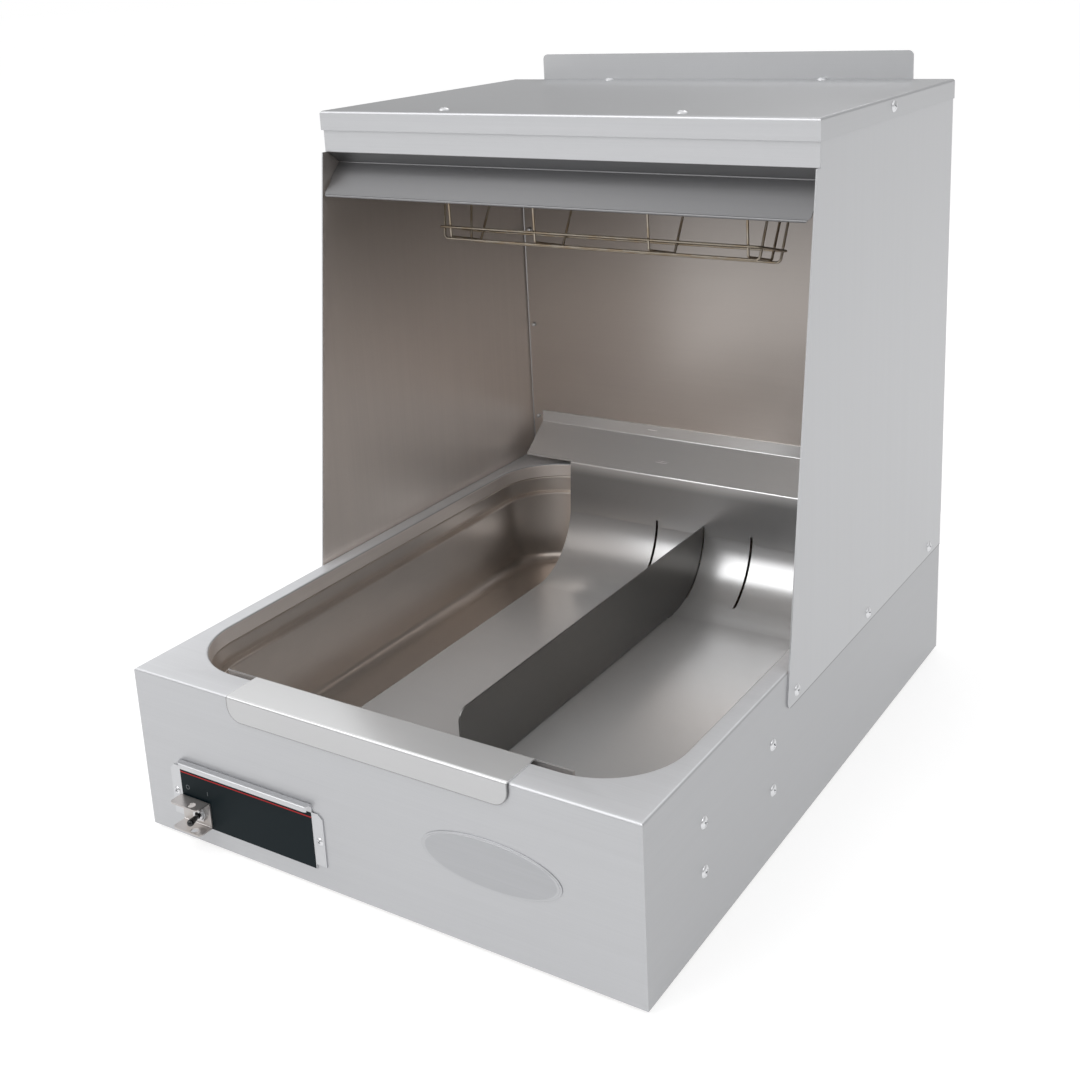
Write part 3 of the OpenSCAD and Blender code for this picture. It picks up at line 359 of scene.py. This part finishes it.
def drawn_steel(name, tone, rough, stain=0.1):
    """Deep-drawn sheet: nearly even, with faint stretched grain, wipe marks and heat stain."""
    shader = Shader(name)
    grain = streaks(shader, 1, 500.0, 12.0)
    wiped = shader.noise((9.0, 9.0, 14.0), detail=4.0, roughness=0.6)
    tint = shader.noise((3.0, 3.0, 3.0), detail=2.0)
    level = 1.0 + (grain - 0.5) * 0.08 + (wiped - 0.5) * stain
    colour = shader.mix(tint.above(0.35, 0.75) * 0.5, shader.shade(tone, level),
                        shader.shade([tone[0] * 1.02, tone[1] * 0.95, tone[2] * 0.88], level))
    return shader.set(Base_Color=colour, Metallic=0.85,
                      Roughness=rough + (wiped - 0.5) * 0.12 + (grain - 0.5) * 0.05,
                      Normal=shader.bump(grain * 0.5 + wiped, 0.04 * MM))


def plated(name, tone, rough, tint=(0.0, 0.0, 0.0)):
    """Plated or polished small metal parts, with fine pits, a tint that comes and goes, and painted shade
    in the screws' cross recesses.
    """
    shader = Shader(name)
    speck = shader.noise((900.0, 900.0, 900.0), detail=2.0)
    patch = shader.noise((60.0, 60.0, 60.0), detail=2.0)
    tinted = [t * (1.0 - c) for t, c in zip(tone, tint)]
    # Painted shade: darker where a point lies deep in a screw's cross recess.
    level = (0.95 + speck * 0.1) * (1.0 - shader.drawn("recess") * 0.4)
    colour = shader.mix(patch.above(0.4, 0.65), shader.shade(tone, level), shader.shade(tinted, level))
    return shader.set(Base_Color=colour, Metallic=1.0, Roughness=rough + (speck - 0.5) * 0.1,
                      Normal=shader.bump(speck, 0.01 * MM))


def moulded(name, tone, rough, grain=1.0):
    """Moulded plastic or rubber: fine leathery grain and slight mottling."""
    shader = Shader(name)
    fine = shader.noise((1500.0, 1500.0, 1500.0), detail=2.0)
    mottle = shader.noise((80.0, 80.0, 80.0), detail=3.0)
    return shader.set(Base_Color=shader.shade(tone, 0.9 + mottle * 0.2),
                      Roughness=rough + (mottle - 0.5) * 0.1,
                      Normal=shader.bump(fine, 0.03 * MM * grain))


# Thread of the switch's bushing
THREAD_PITCH = 0.5 * MM


def toggle_housing(name):
    """Toggle switch: black moulded body behind the front sheet, plated threaded bushing in front of it,
    darker down its thread's grooves as painted shade.
    """
    low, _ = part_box("base_shell")
    shader = Shader(name)
    y = shader.xyz(shader.point())[1]
    plate = 1.0 - y.above(low.y, low.y + 0.5 * MM)
    half_pitch = THREAD_PITCH / 2
    thread = shader.node("ShaderNodeMath", {"operation": "PINGPONG"}, [y, half_pitch])[0] / half_pitch
    fine = shader.noise((1500.0, 1500.0, 1500.0), detail=2.0)
    # The bushing is darker down its thread's grooves: painted shade.
    return shader.set(Base_Color=shader.mix(plate, shader.shade([0.03, 0.03, 0.035], 0.8 + fine * 0.4),
                                            shader.shade([0.60, 0.60, 0.61], 0.7 + thread * 0.3)),
                      Metallic=plate, Roughness=0.42 - plate * 0.16,
                      Normal=shader.bump(thread * plate + fine * 0.1, 0.08 * MM))


def ceramic(name):
    """White glazed ceramic: pooled glaze, slight waviness and a few dark specks."""
    shader = Shader(name)
    wave = shader.noise((90.0, 90.0, 90.0), detail=2.0)
    speck = shader.noise((1200.0, 1200.0, 1200.0), detail=0.0).above(0.76, 0.8)
    glaze = shader.shade([0.82, 0.80, 0.75], 0.95 + wave * 0.1)
    colour = shader.mix(speck * 0.5, glaze, (0.4, 0.36, 0.3, 1.0))
    return shader.set(Base_Color=colour, Roughness=0.22 + wave * 0.1, Coat_Weight=0.4,
                      Normal=shader.bump(wave, 0.2 * MM))


def mineral_wool(name):
    """Pressed mineral wool: matted fibres in a straw colour."""
    shader = Shader(name)
    fibre = shader.noise((400.0, 60.0, 900.0), detail=4.0, roughness=0.7)
    return shader.set(Base_Color=shader.shade([0.68, 0.62, 0.45], 0.8 + fibre * 0.4), Roughness=0.9,
                      Normal=shader.bump(fibre, 0.6 * MM))


LABEL_INK = (0.004, 0.010, 0.013, 1.0)
LABEL_RED = (0.50, 0.03, 0.03, 1.0)
LABEL_GREY = (0.16, 0.17, 0.18, 1.0)
PRINT_BLEND = 0.08 * MM
STRIPE_DROP = 4.6 * MM
STRIPE_WIDTH = 0.6 * MM
OFF_MARK = (-0.2190, 0.0598)
ON_MARK = (-0.1932, 0.0598)
MARK_SIZE = 2.1 * MM
MARK_LINE = 0.3 * MM


def printed_label(name):
    """Film label: dark ink, a red pinstripe along its top, a ring for off and a bar for on."""
    def line(distance, half_width):
        return 1.0 - abs(distance).above(half_width - PRINT_BLEND, half_width + PRINT_BLEND)
    _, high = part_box("control_label")
    shader = Shader(name)
    x, _, z = shader.xyz(shader.point())
    stripe = line(z - (high.z - STRIPE_DROP), STRIPE_WIDTH)
    away = ((x - OFF_MARK[0]) ** 2.0 + (z - OFF_MARK[1]) ** 2.0) ** 0.5
    ring = line(away - MARK_SIZE, MARK_LINE)
    bar = line(x - ON_MARK[0], MARK_LINE).least(line(z - ON_MARK[1], MARK_SIZE))
    fine = shader.noise((1400.0, 1400.0, 1400.0), detail=2.0)
    colour = shader.mix(stripe, shader.mix(ring.most(bar), LABEL_INK, LABEL_GREY), LABEL_RED)
    return shader.set(Base_Color=colour, Roughness=0.45 + (fine - 0.5) * 0.1, Specular_IOR_Level=0.1,
                      Normal=shader.bump(fine, 0.01 * MM))


# Where the oval's polished rim starts, as a share of the way from its middle to its edge
RIM_START = 0.925
RIM_FULL = 0.945


def engraved_oval(name):
    """Oval plate: polished rim round a field of fine level brush marks."""
    low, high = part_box("oval_plate")
    middle, half = (low + high) / 2, (high - low) / 2
    shader = Shader(name)
    x, _, z = shader.xyz(shader.point())
    away = (((x - middle.x) / half.x) ** 2.0 + ((z - middle.z) / half.z) ** 2.0) ** 0.5
    rim = away.above(RIM_START, RIM_FULL)
    grain = streaks(shader, 0, 900.0, 8.0)
    level = 1.0 + (grain - 0.5) * 0.2
    colour = shader.mix(rim, shader.shade([0.44, 0.445, 0.46], level),
                        shader.shade([0.50, 0.505, 0.52], level))
    return shader.set(Base_Color=colour, Metallic=0.8, Roughness=0.38 - rim * 0.06 + (grain - 0.5) * 0.1,
                      Normal=shader.bump(grain, 0.04 * MM))


def make_finishes():
    """One material for each kind of piece, then the material of each node."""
    # Side panels: painted shade on their sideways faces and a painted shade line along their lower edge.
    panel_look = {"side": 2, "flank_painted_shade": 0.92, "metal": 0.66, "painted_shade_mask": panel_edge_shade_line}
    by_finish = {
        brushed("mill_sheet", [0.62, 0.60, 0.585], 0.42, mark=0.7, cloud=0.15): [
            "bottom_cover", "pan_supports", "insulation_tray", "support_channels", "rear_top_angle",
            "hood_ceiling", "reflector_ends"],
        # Base: painted light on its deck, painted shade on its sides, and in the well's collar a tint with
        # painted light.
        brushed("base_sheet", [0.53, 0.535, 0.55], 0.38, flank_painted_shade=0.86, deck=0.34, metal=0.62,
                tint_and_painted_shading=in_well): ["base_shell"],
        brushed("rear_sheet", [0.53, 0.535, 0.55], 0.38, metal=0.62): ["base_rear_panel", "wire_channel"],
        # Hood cover and fascia: painted shade on the faces that look up and on the sideways ones.
        brushed("hood_sheet", [0.575, 0.58, 0.595], 0.36, flank_painted_shade=0.86, deck=-0.30, metal=0.62): [
            "hood_cover", "fascia"],
        # Side panels' inner faces: tinted, with painted light low down and painted shade higher up.
        brushed("left_panel_sheet", [0.56, 0.565, 0.58], 0.35, tint_and_painted_shading=inner_face(1), **panel_look): [
            "left_side_panel"],
        brushed("right_panel_sheet", [0.56, 0.565, 0.58], 0.35, tint_and_painted_shading=inner_face(-1), **panel_look): [
            "right_side_panel"],
        # Back panel under the cover: tinted, with painted light low down, painted shade higher up and more
        # painted shade besides.
        brushed("lining_sheet", [0.53, 0.535, 0.545], 0.30, mark=0.5, cloud=0.14, tint_and_painted_shading=below_cover,
                extra_painted_shade=0.32): ["back_panel"],
        # Insert: painted light on its floor and ramp, painted shade along its lip's outline and on the
        # scoop, and its whole lip darker.
        brushed("insert_sheet", [0.69, 0.692, 0.698], 0.25, deck=0.14, mark=0.2, cloud=0.10, metal=0.66,
                painted_shade_mask=insert_painted_shading): ["insert"],
        # Divider: its near-black tone is a painted dark reflection.
        brushed("divider_painted_dark", [0.17, 0.17, 0.165], 0.30, mark=0.05, cloud=0.08): ["divider"],
        brushed("deflector_sheet", [0.215, 0.215, 0.22], 0.36, mark=0.6): ["deflector"],
        brushed("bracket_sheet", [0.50, 0.475, 0.46], 0.30, mark=0.25): [
            "switch_guard", "element_clips", "thermostat"],
        # Control plate: painted shade on the faces that look up.
        brushed("control_sheet", [0.58, 0.585, 0.60], 0.34, deck=-0.35, mark=0.5): ["control_plate"],
        drawn_steel("well_sheet", [0.66, 0.60, 0.555], 0.30, stain=0.14): ["pan"],
        plated("bright_plate", [0.70, 0.705, 0.72], 0.30): [
            "bottom_screws", "base_side_screws", "rear_screws", "panel_screws", "hood_top_screws",
            "hood_side_screws", "hanger_screws", "control_screws", "switch_nut"],
        plated("reflector_sheet", [0.80, 0.80, 0.80], 0.16, tint=(0.02, 0.04, 0.08)): ["reflector"],
        plated("guard_wire", [0.36, 0.32, 0.265], 0.34, tint=(0.12, 0.2, 0.3)): ["wire_guard"],
        ceramic("element_glaze"): ["ceramic_elements"],
        mineral_wool("wool_board"): ["insulation_board"],
        moulded("heater_silicone", [0.36, 0.07, 0.035], 0.6): ["blanket_heater"],
        moulded("ivory_moulding", [0.75, 0.70, 0.58], 0.45): ["terminal_block"],
        moulded("black_rubber", [0.02, 0.02, 0.02], 0.7, grain=2.0): ["feet", "cord_bushing"],
        toggle_housing("toggle_finish"): ["switch_body"],
        moulded("lever_black", [0.006, 0.006, 0.007], 0.09, grain=0.1): ["switch_lever"],
        printed_label("label_print"): ["control_label"],
        engraved_oval("oval_finish"): ["oval_plate"],
    }
    finish = {}
    for material, names in by_finish.items():
        for name in names:
            finish[name] = material
            nodes[name].data.materials.clear()
            nodes[name].data.materials.append(material)
    return finish


def new_piece(name, mesh, material, *replaced):
    """Links a piece, gives it its finish and slot, and lets it stand for CAD nodes of one body."""
    piece = bpy.data.objects.new(name, mesh)
    bpy.context.scene.collection.objects.link(piece)
    mesh.materials.clear()
    mesh.materials.append(material)
    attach(piece, body_of_node[replaced[0]])
    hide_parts(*replaced)
    return piece


EDGE_WIDTH = 0.28 * MM
ROUND_PIECE_EDGE = 0.12 * MM
EDGE_ANGLE = math.radians(32)
FLAT_ANGLE = math.radians(0.4)
# Points nearer to each other than this become one, on sheets and on screws
SHEET_WELD = 0.001 * MM
SCREW_WELD = 0.002 * MM


def soften(node, finish, width=EDGE_WIDTH):
    """Stands a copy of a sheet node in its place, its cut edges broken by a narrow bevel."""
    mesh = nodes[node].data.copy()
    work = bmesh.new()
    work.from_mesh(mesh)
    bmesh.ops.remove_doubles(work, verts=work.verts, dist=SHEET_WELD)
    bmesh.ops.dissolve_limit(work, angle_limit=FLAT_ANGLE, verts=work.verts, edges=work.edges)
    for face in work.faces:
        face.smooth = True
    for edge in work.edges:
        edge.smooth = len(edge.link_faces) == 2 and edge.calc_face_angle(math.pi) < EDGE_ANGLE
    work.to_mesh(mesh)
    work.free()
    piece = new_piece(node + "_dressed", mesh, finish[node], node)
    bevel = piece.modifiers.new("broken edge", "BEVEL")
    bevel.width = width
    bevel.segments = 2
    bevel.limit_method = "ANGLE"
    bevel.angle_limit = EDGE_ANGLE
    bevel.harden_normals = True
    return piece


def solids_of(node, reach):
    """Boxes of a node's separate solids: vertices are grouped round the first one not yet taken."""
    count = len(nodes[node].data.vertices)
    places = np.empty(count * 3)
    nodes[node].data.vertices.foreach_get("co", places)
    places = places.reshape(-1, 3)
    boxes = []
    while len(places):
        near = np.linalg.norm(places - places[0], axis=1) < reach
        boxes.append((places[near].min(0), places[near].max(0)))
        places = places[~near]
    return boxes


SCREW_RINGS = 34
SCREW_SPOKES = 72
SCREW_CREASE = math.radians(40)
# Points nearer to each other than this are of one screw
SCREW_REACH = 25 * MM
# Radii of the screws' shanks
SHANK = 2.4 * MM
SMALL_SHANK = 1.7 * MM
# Screw head: its dome's height and its recess's wings and arms, as shares of the head's radius
DOME_SHARE = 0.45
WING_SHARE = 0.15
ARM_SHARE = 0.55
# Roundness of the dome, how its rings crowd outwards, and where on the shank the blunt end starts
DOME_POWER = 0.75
RING_POWER = 0.9
END_START = 0.8
# Recess: its depth against the dome, and how it gets shallower outwards from the middle
RECESS_DEPTH = 0.75
MIDDLE_DEPTH = 1.2
OUTWARD_RISE = 0.5
# Recess walls: width at the middle, how much the wing narrows outwards, and the slopes' shares
WING_START = 1.25
WING_TAPER = 0.5
SIDE_SLOPE = 0.35
END_SLOPE = 0.25
# Turn of the first screw's recess and how much more each next one turns
FIRST_TURN = 0.5
NEXT_TURN = 1.7


def screw_points(head_r, dome_h, shank_r, length, turn):
    """A domed screw about +Z with its seat at 0: the dome's height is
    dome_h * (1 - (r / head_r) ** 2) ** DOME_POWER, less a cross recess that is deepest in the middle;
    then the shank and a blunt end. Gives the points and how deep in the recess each one lies."""
    across = np.linspace(0, 1, SCREW_RINGS) ** RING_POWER * head_r
    angle = np.linspace(0, 2 * np.pi, SCREW_SPOKES, endpoint=False)
    r, a = np.meshgrid(across, angle, indexing="ij")
    wing = WING_SHARE * head_r
    arm = ARM_SHARE * head_r
    x, y = r * np.cos(a + turn), r * np.sin(a + turn)

    def slot(across_wing, along):
        half = wing * (WING_START - WING_TAPER * np.abs(along) / arm)
        side = np.clip((half - np.abs(across_wing)) / (SIDE_SLOPE * wing), 0, 1)
        end = np.clip((arm - np.abs(along)) / (END_SLOPE * arm), 0, 1)
        return side * end
    shallower = np.clip(MIDDLE_DEPTH - r / arm * OUTWARD_RISE, 0, 1)
    recess = np.maximum(slot(x, y), slot(y, x)) * shallower
    dome = dome_h * (1 - (r / head_r) ** 2) ** DOME_POWER - recess * dome_h * RECESS_DEPTH
    rings = [np.stack([r * np.cos(a), r * np.sin(a), dome], axis=-1)]
    for radius, height in ((shank_r, 0.0), (shank_r, -length * END_START), (0.0, -length)):
        rings.append(np.stack([radius * np.cos(angle), radius * np.sin(angle),
                               np.full(SCREW_SPOKES, height)], axis=-1)[None])
    return np.concatenate(rings), np.pad(recess, ((0, 3), (0, 0)))


def place_screws(node, finish, axis, shank_r):
    """Screws with cross recesses in place of a node's plain ones. Axis is the way the heads look,
    with None for a pair of sides that both look outwards along X."""
    points, depths = [], []
    for number, (low, high) in enumerate(solids_of(node, SCREW_REACH)):
        middle = (low + high) / 2
        look = Vector(axis) if axis else Vector((math.copysign(1, middle[0]), 0, 0))
        along = int(np.argmax(np.abs(look)))
        head_r = max((high - low)[i] for i in range(3) if i != along) / 2
        top = high[along] if look[along] > 0 else -low[along]
        dome_h = head_r * DOME_SHARE
        seat = middle.copy()
        seat[along] = (top - dome_h) * look[along]
        turn = np.array(look.to_track_quat("Z", "Y").to_matrix())
        shape, depth = screw_points(head_r, dome_h, shank_r, (high - low)[along] - dome_h,
                                    FIRST_TURN + NEXT_TURN * number)
        points.append(shape @ turn.T + seat)
        depths.append(depth)
    rows, columns = depths[0].shape
    first = np.arange(len(points))[:, None, None] * rows * columns
    here = first + np.arange((rows - 1) * columns).reshape(rows - 1, columns)
    right = np.roll(here, -1, axis=2)
    quads = np.stack([here, right, right + columns, here + columns], axis=-1)
    mesh = bpy.data.meshes.new(node + "_turned")
    mesh.from_pydata(np.concatenate(points).reshape(-1, 3), [], quads.reshape(-1, 4))
    # How deep each point lies in the recess, which the finish darkens as painted shade.
    recess = mesh.attributes.new("recess", "FLOAT", "POINT")
    recess.data.foreach_set("value", np.concatenate(depths).ravel())
    work = bmesh.new()
    work.from_mesh(mesh)
    bmesh.ops.remove_doubles(work, verts=work.verts, dist=SCREW_WELD)
    bmesh.ops.recalc_face_normals(work, faces=work.faces)
    for face in work.faces:
        face.smooth = True
    for edge in work.edges:
        edge.smooth = edge.calc_face_angle(0.0) < SCREW_CREASE
    work.to_mesh(mesh)
    work.free()
    return new_piece(node + "_turned", mesh, finish[node], node)


# The floor's tone, how much the camera and the metal see it glow besides, and half its side
PALE_FLOOR = 0.52
FLOOR_GLOW = 0.63
FLOOR_HALF = 40.0
BLACK = (0.0, 0.0, 0.0, 1.0)
WHITE = (1.0, 1.0, 1.0, 1.0)
# The studio as the metal sees it: each part's strength, then from and to which height each ends or begins
CARD_LEVEL = 0.25
WALL_LEVEL = 0.5
OVERHEAD_LEVEL = 1.0
PLAIN_LEVEL = 0.72
BACKDROP_TOP = (0.03, 0.08)
CARD_TOP = (0.30, 0.45)
CEILING_FOOT = (0.36, 0.60)
# Name, place, aim, size and power of each lamp
LAMPS = [
    ("key", (-1.5, -2.3, 2.6), (0, 0, 0.3), 3.0, 52),
    ("fill", (2.8, -0.9, 2.4), (0, 0, 0.3), 1.6, 12),
    ("back", (-0.4, 2.4, 2.6), (0, 0, 0.4), 1.4, 8),
]


def ray_kinds(shader):
    """1 for a ray from the camera, then 1 for a ray from the camera, a reflection or glass."""
    rays = {field.socket.name: field for field in shader.node("ShaderNodeLightPath")}
    camera = rays["Is Camera Ray"]
    return camera, camera.most(rays["Is Glossy Ray"]).most(rays["Is Transmission Ray"])


def add_floor():
    """Pale floor that keeps the object's soft shadow."""
    corners = [(x * FLOOR_HALF, y * FLOOR_HALF, 0) for x, y in ((-1, -1), (1, -1), (1, 1), (-1, 1))]
    mesh = bpy.data.meshes.new("floor")
    mesh.from_pydata(corners, [], [(0, 1, 2, 3)])
    floor = bpy.data.objects.new("floor", mesh)
    bpy.context.scene.collection.objects.link(floor)
    shader = Shader("floor_paper")
    glow = shader.mix(ray_kinds(shader)[1], BLACK, (FLOOR_GLOW, FLOOR_GLOW, FLOOR_GLOW, 1.0))
    mesh.materials.append(shader.set(Base_Color=(PALE_FLOOR, PALE_FLOOR, PALE_FLOOR, 1.0), Roughness=1.0,
                                     Specular_IOR_Level=0.0, Emission_Color=glow, Emission_Strength=1.0))


def add_world():
    """White backdrop, as the camera and the metal see it low down; above that the metal sees the studio's
    grey walls, darker in front, and its ceiling. Plain light for the rest."""
    world = bpy.data.worlds.new("studio")
    world.use_nodes = True
    bpy.context.scene.world = world
    sky = Shader.__new__(Shader)
    sky.tree = world.node_tree
    background = next(n for n in sky.tree.nodes if n.type == "BACKGROUND")
    _, y, z = sky.xyz(sky.node("ShaderNodeTexCoord")[0])
    card = (y * -1.0).above(0.0, 0.4) * (1.0 - z.above(*CARD_TOP))
    ceiling = z.above(*CEILING_FOOT)
    walls = WALL_LEVEL + ceiling * (OVERHEAD_LEVEL - WALL_LEVEL) - card * (WALL_LEVEL - CARD_LEVEL)
    camera, seen = ray_kinds(sky)
    horizon = 1.0 - z.above(*BACKDROP_TOP)
    backdrop = (walls + (1.0 - walls) * horizon).most(camera)
    background.inputs["Color"].default_value = WHITE
    sky.put(background.inputs["Strength"], backdrop * seen + (1.0 - seen) * PLAIN_LEVEL)


def add_lamp(name, place, aim, size, power):
    """A square soft box at place that looks at aim."""
    lamp = bpy.data.objects.new(name, bpy.data.lights.new(name, "AREA"))
    lamp.data.size = size
    lamp.data.energy = power
    lamp.location = place
    lamp.rotation_mode = "QUATERNION"
    lamp.rotation_quaternion = (Vector(aim) - Vector(place)).to_track_quat("-Z", "Y")
    bpy.context.scene.collection.objects.link(lamp)


add_camera()
finish = make_finishes()
for sheet in ["base_shell", "base_rear_panel", "bottom_cover", "left_side_panel", "right_side_panel",
              "back_panel", "wire_channel", "hood_cover", "fascia", "deflector", "hood_ceiling",
              "reflector", "reflector_ends", "insert", "divider", "pan", "control_plate", "switch_guard",
              "switch_nut", "oval_plate"]:
    soften(sheet, finish)
for piece in ["wire_guard", "switch_lever", "feet", "cord_bushing", "ceramic_elements", "switch_body"]:
    soften(piece, finish, ROUND_PIECE_EDGE)
for screws, axis, shank_r in [("panel_screws", None, SHANK), ("base_side_screws", None, SHANK),
                              ("hood_side_screws", None, SHANK), ("hood_top_screws", (0, 0, 1), SHANK),
                              ("rear_screws", (0, 1, 0), SHANK), ("bottom_screws", (0, 0, -1), SHANK),
                              ("hanger_screws", (0, 0, -1), SMALL_SHANK),
                              ("control_screws", (0, -1, 0), SMALL_SHANK)]:
    place_screws(screws, finish, axis, shank_r)
add_floor()
add_world()
for lamp in LAMPS:
    add_lamp(*lamp)
bpy.context.scene.view_settings.view_transform = "Standard"
